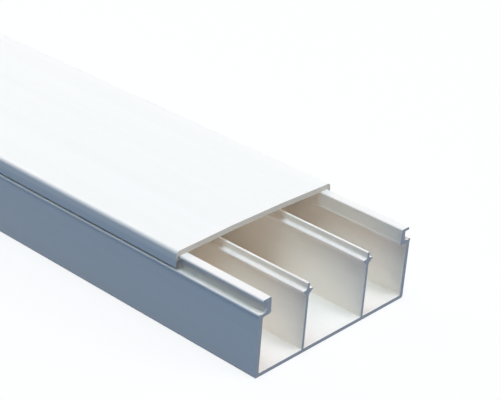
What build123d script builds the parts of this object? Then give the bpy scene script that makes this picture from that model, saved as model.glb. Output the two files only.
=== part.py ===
"""Cord cover raceway: a three-compartment PVC trunking base and its clip-on cover.

Both pieces are extruded stock. The base is a trough with two upright dividers and a
hooked rim along each side wall. The cover is a crowned plate whose two barbed skirts
clip under the rims. It is drawn back along the base, so the compartments show at one end.

Frame: the origin is the middle of the base's underside. +X runs along the stock to the
end that the cover leaves open, +Y across it, +Z up. Millimetres.
"""

import os

from build123d import *

# The stock
stock_length = 2000.0
overall_width = 100.0
cover_drawn_back = 47.5

# Base: trough
base_width = 99.1
wall_thickness = 2.15
floor_thickness = 1.8
outer_edge_radius = 1.0
foot_radius = 0.8

# Base: hooked rim along a side wall, heights from the underside
rim_height = 36.95
lip_setback = 1.5
lip_width = 5.0
lip_thickness = 1.35
lip_outer_radius = 0.8
lip_inner_radius = 0.6
web_thickness = 2.35
groove_floor = 30.3
groove_rise = 0.5
groove_radius = 1.8
bead_rise = 0.45
bead_setback = 0.2
bead_width = 0.9
bead_depth = 1.3
bead_radius = 0.6
shelf_underside = 29.0
shelf_radius = 1.2
shelf_root_radius = 0.85
web_lean = 0.35
shelf_flare = 0.15
flare_foot_height = 30.3
flare_top_height = 30.9

# Base: dividers
divider_spacing = 39.6
divider_thickness = 1.4
divider_height = 34.3
wing_span = 5.9
wing_top = 31.15
wing_thickness = 0.9
haunch_drop = 1.6
haunch_radius = 2.0
nib_root_radius = 1.0

# Cover
plate_thickness = 2.6
crown_rise = 0.9
shoulder_radius = 1.8
shoulder_width = 3.0
land_width = 8.0
skirt_bottom = 31.7
skirt_thickness = 1.15
skirt_bulge = 0.3
skirt_waist_height = 35.4
skirt_waist_radius = 15.0
skirt_lean = 0.15
toe_thickness = 0.9
barb_reach = 1.9
barb_tip_height = 34.8
barb_root_height = 35.3

# Rounding of the small corners that a die leaves
sharp = 0.0
fine_radius = 0.25
soft_radius = 0.4

# Half widths and heights that follow from the sizes above
overall_half = overall_width / 2
base_half = base_width / 2
wall_inner = base_half - wall_thickness
bead_outer = overall_half - bead_setback
bead_overhang = bead_outer - base_half
bead_top = groove_floor + bead_rise
bead_inner = bead_outer - bead_width
lip_outer = base_half - lip_setback
lip_inner = lip_outer - lip_width
lip_underside = rim_height - lip_thickness
web_outer = lip_inner + web_thickness
web_inner = lip_inner - web_lean
shelf_inner = web_inner - shelf_flare
divider_half = divider_thickness / 2
wing_half = wing_span / 2
wing_underside = wing_top - wing_thickness
shoulder_height = rim_height + plate_thickness
shoulder_outer = overall_half - skirt_bulge
shoulder_start = overall_half - shoulder_width
skirt_inner = overall_half - skirt_thickness
toe_outer = overall_half - skirt_lean
land_inner = overall_half - land_width

# Half of the trough in section: across, up and corner radius, from the underside's middle
trough_profile = [
    (0, 0, sharp),
    (base_half, 0, outer_edge_radius),
    # Bead along the wall's top edge, a little proud of the wall and of the groove
    (base_half, bead_top - bead_depth - bead_overhang, soft_radius),
    (bead_outer, bead_top - bead_depth, soft_radius),
    (bead_outer, bead_top, bead_radius),
    (bead_inner, bead_top, fine_radius),
    # Groove, open to the outside, that the cover's skirt hangs over
    (bead_inner - bead_rise, groove_floor, fine_radius),
    (web_outer, groove_floor + groove_rise, groove_radius),
    (web_outer, lip_underside, soft_radius),
    # Lip that the cover rests on and clips under
    (lip_outer, lip_underside, fine_radius),
    (lip_outer, rim_height, lip_outer_radius),
    (lip_inner, rim_height, lip_inner_radius),
    # Inner face of the rim, leaning in to the flare of the thicker shelf and back under it
    (web_inner, flare_top_height, sharp),
    (shelf_inner, flare_foot_height, sharp),
    (shelf_inner, shelf_underside, shelf_radius),
    (wall_inner, shelf_underside, shelf_root_radius),
    # Inside of the wall, and the floor
    (wall_inner, floor_thickness, foot_radius),
    (0, floor_thickness, sharp),
]

# Half of a divider in section: across from its own middle, up, and corner radius
divider_profile = [
    (0, floor_thickness / 2, sharp),
    (divider_half, floor_thickness / 2, sharp),
    # Haunch that carries the wing
    (divider_half, wing_underside - haunch_drop, haunch_radius),
    (wing_half, wing_underside, fine_radius),
    (wing_half, wing_top, soft_radius),
    # Nib above the wing
    (divider_half, wing_top, nib_root_radius),
    (divider_half, divider_height, soft_radius),
    (0, divider_height, sharp),
]

# Edge of the cover in section: across, up and corner radius, from its top to its underside
cover_profile = [
    (shoulder_start, shoulder_height, sharp),
    (shoulder_outer, shoulder_height, shoulder_radius),
    # Skirt, bulging a little at its waist, with the barb that hooks under the lip
    (overall_half, skirt_waist_height, skirt_waist_radius),
    (toe_outer, skirt_bottom, fine_radius),
    (toe_outer - toe_thickness, skirt_bottom, fine_radius),
    (skirt_inner - barb_reach, barb_tip_height, fine_radius),
    (skirt_inner, barb_root_height, fine_radius),
    # Flat land that rests on the lip
    (skirt_inner, rim_height, fine_radius),
    (land_inner, rim_height, sharp),
]

os.makedirs("parts", exist_ok=True)


# Base channel: trough and dividers in one extrusion
with BuildPart() as base_channel:
    with BuildSketch(Plane.YZ.offset(-stock_length / 2)) as base_section:
        with BuildLine():
            FilletPolyline(
                [(across, up) for across, up, _ in trough_profile],
                radius=[radius for _, _, radius in trough_profile],
                close=True,
            )
        make_face()
        mirror(about=Plane.YZ)
        with BuildSketch(mode=Mode.PRIVATE) as divider_section:
            with BuildLine():
                FilletPolyline(
                    [(across, up) for across, up, _ in divider_profile],
                    radius=[radius for _, _, radius in divider_profile],
                    close=True,
                )
            make_face()
            mirror(about=Plane.YZ)
        with GridLocations(divider_spacing, 0, 2, 1):
            add(divider_section.sketch)
        # Rounded feet where the dividers stand on the floor
        divider_feet = (
            base_section.vertices()
            .filter_by_position(Axis.Y, floor_thickness, floor_thickness)
            .filter_by_position(Axis.X, -divider_spacing, divider_spacing)
        )
        fillet(divider_feet, radius=foot_radius)
    extrude(amount=stock_length)
base_channel.part.label = "base_channel"


# Cover: half of the crowned plate with its barbed skirt, mirrored, in one extrusion
with BuildPart() as cover:
    with BuildSketch(Plane.YZ.offset(-stock_length / 2 - cover_drawn_back)) as cover_section:
        with BuildLine():
            TangentArc(
                (0, shoulder_height + crown_rise), (shoulder_start, shoulder_height), tangent=(1, 0)
            )
            FilletPolyline(
                [(across, up) for across, up, _ in cover_profile],
                radius=[radius for _, _, radius in cover_profile[1:-1]],
            )
            TangentArc((0, rim_height + crown_rise), (land_inner, rim_height), tangent=(1, 0))
            Line((0, rim_height + crown_rise), (0, shoulder_height + crown_rise))
        make_face()
        mirror(about=Plane.YZ)
    extrude(amount=stock_length)
cover.part.label = "cover"


export_step(base_channel.part, "parts/base_channel.step")
export_step(cover.part, "parts/cover.step")

for piece in (base_channel.part, cover.part):
    box = piece.bounding_box()
    print(piece.label, "volume in cm3:", round(piece.volume / 1000, 1))
    print("  from", box.min, "to", box.max)
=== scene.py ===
"""Cord cover raceway in white rigid PVC: its finish, a plain studio and the camera.

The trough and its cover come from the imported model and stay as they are. Here they get
the skin that an extrusion die leaves, and the matt grain that a saw leaves at the ends.
Everything is in metres, in the frame of the model: +X along the stock to the open end,
+Y across it, +Z up, with the floor of the studio under the trough at zero.
"""

import math

import bpy
from mathutils import Matrix, Vector

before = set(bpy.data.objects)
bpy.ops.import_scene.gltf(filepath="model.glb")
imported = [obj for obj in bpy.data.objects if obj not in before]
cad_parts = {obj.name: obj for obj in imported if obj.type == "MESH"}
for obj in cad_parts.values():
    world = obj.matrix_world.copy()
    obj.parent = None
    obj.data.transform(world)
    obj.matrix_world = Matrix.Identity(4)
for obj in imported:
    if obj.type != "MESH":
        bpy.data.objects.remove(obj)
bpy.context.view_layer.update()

MM = 0.001


def linear(code):
    """An sRGB hex colour, such as F4F3F0, as the linear colour that a shader takes."""
    parts = [int(code[i:i + 2], 16) / 255 for i in (0, 2, 4)]
    return (*[p / 12.92 if p <= 0.04045 else ((p + 0.055) / 1.055) ** 2.4 for p in parts], 1.0)


def add(tree, kind, inputs=(), out=None, **settings):
    """One node with its settings and links, or only its output called out.

    Each input takes a value, or the socket that feeds it. Sockets go by name, or by number
    where a node has several of one name.
    """
    made = tree.nodes.new("ShaderNode" + kind)
    for name, value in settings.items():
        setattr(made, name, value)
    for name, value in dict(inputs).items():
        if isinstance(value, bpy.types.NodeSocket):
            tree.links.new(value, made.inputs[name])
        else:
            made.inputs[name].default_value = value
    return made if out is None else made.outputs[out]


def empty_tree(owner):
    """The owner's node tree, cleared of what it starts with."""
    owner.use_nodes = True
    owner.node_tree.nodes.clear()
    return owner.node_tree


# Marks of the die and the haul-off: each grain along, across and up, and its depth

# Die lines are about 0.4 mm apart. Drawn 1.4 mm apart, so that they show in the render.
die_line_grain = (2500 * MM, 1.4 * MM, 1.4 * MM)
die_line_depth = 0.012 * MM
# The haul-off grips every few centimetres, which leaves slow swells on broad faces.
swell_grain = (70 * MM, 26 * MM, 26 * MM)
swell_depth = 0.05 * MM
# Orange peel of the calibrated skin, 0.3 mm in life. Drawn 0.9 mm, so that it shows.
peel_grain = (1.6 * MM, 0.9 * MM, 0.9 * MM)
peel_depth = 0.008 * MM
# Filler and pigment are never quite evenly mixed: long faint streaks, 6 mm wide.
streak_grain = (400 * MM, 6 * MM, 6 * MM)

# Marks of the saw: the place of its axle, then each grain and its depth

# The marks are arcs of a 400 mm blade whose axle stood below the stock.
blade_centre = (0.0, -55 * MM, -130 * MM)
# Tooth marks are 0.5 mm apart. Drawn 0.8 mm apart, so that they show.
tooth_mark_spacing = 0.8 * MM
tooth_mark_depth = 0.06 * MM
# Crumbs of plastic that the teeth tear out
crumb_grain = (0.5 * MM, 0.5 * MM, 0.5 * MM)
crumb_depth = 0.05 * MM

# A face turns from skin to sawn end as it comes to look along the stock.
sawn_facing = {"From Min": 0.8, "From Max": 0.98}
# Most of a noise lies in the first of these ranges, and its middle in the second.
most_of_noise = {"From Min": 0.3, "From Max": 0.7}
middle_of_noise = {"From Min": 0.35, "From Max": 0.65}
smooth_step = {"out": "Result", "interpolation_type": "SMOOTHSTEP"}

# Rigid PVC refracts by 1.53. Its skin is satin, and its sawn ends are matt.
pvc_ior = 1.53
satin_roughness = {"To Min": 0.33, "To Max": 0.43}
matt_roughness = {"To Min": 0.62, "To Max": 0.78}


def grain(tree, place, pitch, detail, roughness=0.55):
    """Noise whose grain is pitch long, wide and high, in metres along X, Y and Z."""
    scale = [1 / length for length in pitch]
    spread = add(tree, "Mapping", {"Vector": place, "Scale": scale}, out="Vector")
    noise = {"Vector": spread, "Scale": 1.0, "Detail": detail, "Roughness": roughness}
    return add(tree, "TexNoise", noise, out="Fac")


def blade_arcs(tree, place):
    """Grain in rings about the blade's axle, one ring for each tooth mark."""
    from_blade = add(tree, "VectorMath", {0: place, 1: blade_centre}, out=0, operation="SUBTRACT")
    flat = add(tree, "VectorMath", {0: from_blade, 1: (0, 1, 1)}, out=0, operation="MULTIPLY")
    reach = add(tree, "VectorMath", {0: flat}, out="Value", operation="LENGTH")
    ring = add(tree, "CombineXYZ", {"X": reach}, out="Vector")
    return grain(tree, ring, (tooth_mark_spacing, 1.0, 1.0), detail=2.0)


def extruded_pvc(name, skin, deep, sawn, torn):
    """White rigid PVC, extruded and calibrated in cold steel, then sawn to length.

    The eye gets a clean, slightly warm white with a satin sheen, faint lines that run the
    whole length where the die was not quite smooth, and a slow unevenness from the
    haul-off. The sawn ends are matt, with the fine arcs of the blade, and grey with painted
    shade. Skin and deep are the whites of the streaks; sawn and torn are the two greys of
    the cut, painted shade over its matt white.
    """
    material = bpy.data.materials.new(name)
    tree = empty_tree(material)
    coordinates = add(tree, "TexCoord").outputs
    place = coordinates["Object"]

    die_lines = grain(tree, place, die_line_grain, detail=2.0)
    swell = grain(tree, place, swell_grain, detail=1.0)
    peel = grain(tree, place, peel_grain, detail=3.0, roughness=0.6)
    streaks = grain(tree, place, streak_grain, detail=3.0)
    tooth_marks = blade_arcs(tree, place)
    crumbs = grain(tree, place, crumb_grain, detail=2.0)

    # Where the face is a sawn end, from 0 on the skin to 1 on the cut
    facing = add(tree, "SeparateXYZ", {"Vector": coordinates["Normal"]}, out="X")
    end_on = add(tree, "Math", {0: facing}, out=0, operation="ABSOLUTE")
    sawn_end = add(tree, "MapRange", {"Value": end_on, **sawn_facing}, **smooth_step)

    # Colour: streaks of two whites on the skin; on the cut, crumbs of two greys of painted shade
    streak_share = add(tree, "MapRange", {"Value": streaks, **most_of_noise}, **smooth_step)
    whites = {"Fac": streak_share, "Color1": linear(skin), "Color2": linear(deep)}
    streaked = add(tree, "MixRGB", whites, out="Color")
    crumb_share = add(tree, "MapRange", {"Value": crumbs, **middle_of_noise}, **smooth_step)
    # Painted shade: the cut's two greys darken the white sawn faces.
    shaded_greys = {"Fac": crumb_share, "Color1": linear(sawn), "Color2": linear(torn)}
    shaded_cut = add(tree, "MixRGB", shaded_greys, out="Color")
    both = {"Fac": sawn_end, "Color1": streaked, "Color2": shaded_cut}
    colour = add(tree, "MixRGB", both, out="Color")

    # Sheen: satin on the skin, matt on the cut, both a little uneven
    satin_range = {"Value": peel, **most_of_noise, **satin_roughness}
    satin = add(tree, "MapRange", satin_range, **smooth_step)
    matt_range = {"Value": crumbs, **most_of_noise, **matt_roughness}
    matt = add(tree, "MapRange", matt_range, **smooth_step)
    roughness = add(tree, "Mix", {0: sawn_end, 2: satin, 3: matt}, out=0, data_type="FLOAT")

    # Relief of the skin: swells, die lines on them, and orange peel on both
    swollen = add(tree, "Bump", {"Height": swell, "Distance": swell_depth}, out="Normal")
    lines = {"Height": die_lines, "Distance": die_line_depth, "Normal": swollen}
    lined = add(tree, "Bump", lines, out="Normal")
    peeled = add(tree, "Bump", {"Height": peel, "Distance": peel_depth, "Normal": lined}, out="Normal")

    # Relief of the cut: tooth marks, and crumbs on them
    toothed = add(tree, "Bump", {"Height": tooth_marks, "Distance": tooth_mark_depth}, out="Normal")
    crumbling = {"Height": crumbs, "Distance": crumb_depth, "Normal": toothed}
    crumbled = add(tree, "Bump", crumbling, out="Normal")
    relief = add(tree, "Mix", {0: sawn_end, 4: peeled, 5: crumbled}, out=1, data_type="VECTOR")

    finish = {"Base Color": colour, "Roughness": roughness, "IOR": pvc_ior, "Normal": relief}
    shader = add(tree, "BsdfPrincipled", finish, out="BSDF")
    add(tree, "OutputMaterial", {"Surface": shader})
    return material


# The grey of the cut ends is painted shade. The trough's ends carry a deeper, bluer painted shade; the
# cover's are lighter and warmer, with painted warm light.
finishes = {
    "base_channel": extruded_pvc(
        "extruded_rigid_pvc_trough", skin="FCF6EE", deep="FAF3EB", sawn="9CA0A8", torn="9498A1"
    ),
    "cover": extruded_pvc(
        "extruded_rigid_pvc_cover", skin="FCF7F0", deep="FAF5ED", sawn="C8C1BA", torn="C0BAB3"
    ),
}
for node, finish in finishes.items():
    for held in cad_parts[node].material_slots:
        held.material = finish


# Studio: a plain floor, four broad soft lights and a dim surround

floor_width = 24.0
backdrop_white = "FFFFFF"
# The light that the floor throws back is a dim blue, as on the stock's shaded near side.
backdrop_bounce = "125B93"
# The share of the floor's white that no shadow darkens
backdrop_glow = 0.8
surround_colour = "FFFFFF"
surround_strength = 0.02


def seen_directly(tree):
    """1 for what the camera, a reflection or clear plastic looks at, 0 for light on its way."""
    ray = add(tree, "LightPath").outputs
    first_two = {0: ray["Is Camera Ray"], 1: ray["Is Glossy Ray"]}
    mirrored = add(tree, "Math", first_two, out=0, operation="MAXIMUM")
    all_three = {0: mirrored, 1: ray["Is Transmission Ray"]}
    return add(tree, "Math", all_three, out=0, operation="MAXIMUM")


def backdrop_paper():
    """Matt backdrop paper: seen white with a faint soft shadow, it throws back dim blue light."""
    material = bpy.data.materials.new("matt_backdrop_paper")
    tree = empty_tree(material)
    white = linear(backdrop_white)
    shade = add(tree, "BsdfDiffuse", {"Color": white}, out=0)
    glow = add(tree, "Emission", {"Color": white, "Strength": 1.0}, out=0)
    shown = add(tree, "MixShader", {0: backdrop_glow, 1: shade, 2: glow}, out=0)
    bounce = add(tree, "BsdfDiffuse", {"Color": linear(backdrop_bounce)}, out=0)
    paper = add(tree, "MixShader", {0: seen_directly(tree), 1: bounce, 2: shown}, out=0)
    add(tree, "OutputMaterial", {"Surface": paper})
    return material


def soft_light(name, compass, height, width, strength, colour):
    """A broad soft light, far off, so that the whole stock gets the same light.

    It stands compass degrees round from +X towards +Y and height degrees up, and looks
    width degrees wide from the stock. At a strength of 1 a surface that faces it renders
    about as its colour is written.
    """
    lamp = bpy.data.lights.new(name, "SUN")
    lamp.angle = math.radians(width)
    lamp.energy = math.pi * strength
    lamp.color = linear(colour)[:3]
    stand = bpy.data.objects.new(name, lamp)
    stand.rotation_euler = (0, math.radians(90 - height), math.radians(compass))
    bpy.context.scene.collection.objects.link(stand)


half = floor_width / 2
corners = [(-half, -half, 0), (half, -half, 0), (half, half, 0), (-half, half, 0)]
paper = bpy.data.meshes.new("studio_floor")
paper.from_pydata(corners, [], [(0, 1, 2, 3)])
paper.materials.append(backdrop_paper())
floor = bpy.data.objects.new("studio_floor", paper)
bpy.context.scene.collection.objects.link(floor)

world = bpy.data.worlds.new("studio_surround")
bpy.context.scene.world = world
tree = empty_tree(world)
fill = {"Color": linear(surround_colour), "Strength": surround_strength}
dim = add(tree, "Background", fill, out=0)
white = add(tree, "Background", {"Color": linear(backdrop_white), "Strength": 1.0}, out=0)
surround = add(tree, "MixShader", {0: seen_directly(tree), 1: dim, 2: white}, out=0)
add(tree, "OutputWorld", {"Surface": surround})

soft_light("overhead_light", compass=270, height=88, width=30, strength=0.465, colour="DEE9FF")
soft_light("near_high_light", compass=270, height=65, width=40, strength=0.25, colour="DCFCFF")
soft_light("back_light", compass=175, height=35, width=40, strength=0.335, colour="FFECF0")
soft_light("open_end_light", compass=38, height=21, width=50, strength=0.64, colour="FBFFFC")

# Light crosses the white compartments many times before it is spent.
bpy.context.scene.cycles.diffuse_bounces = 12


# Camera: the photograph's view, from the open end and the trough's -Y side, angles in degrees

camera_place = (1.33057, -0.44343, 0.34606)
camera_azimuth = 40.827
camera_elevation = 27.176
camera_roll = -4.310
lens_mm = 108.24
sensor_mm = 36.0
nearest_seen = 10 * MM

azimuth = math.radians(camera_azimuth)
elevation = math.radians(camera_elevation)
roll = math.radians(camera_roll)
back = Vector((
    math.sin(azimuth) * math.cos(elevation),
    -math.cos(azimuth) * math.cos(elevation),
    math.sin(elevation),
))
level_right = (-back).cross(Vector((0, 0, 1))).normalized()
level_down = (-back).cross(level_right)
right = math.cos(roll) * level_right + math.sin(roll) * level_down
up = math.sin(roll) * level_right - math.cos(roll) * level_down
turn = Matrix((right, up, back)).transposed().to_4x4()

viewpoint = bpy.data.cameras.new("camera")
viewpoint.lens = lens_mm
viewpoint.sensor_width = sensor_mm
viewpoint.clip_start = nearest_seen
camera = bpy.data.objects.new("camera", viewpoint)
camera.matrix_world = Matrix.Translation(camera_place) @ turn
bpy.context.scene.collection.objects.link(camera)
bpy.context.scene.camera = camera
bpy.context.scene.view_settings.view_transform = "Standard"
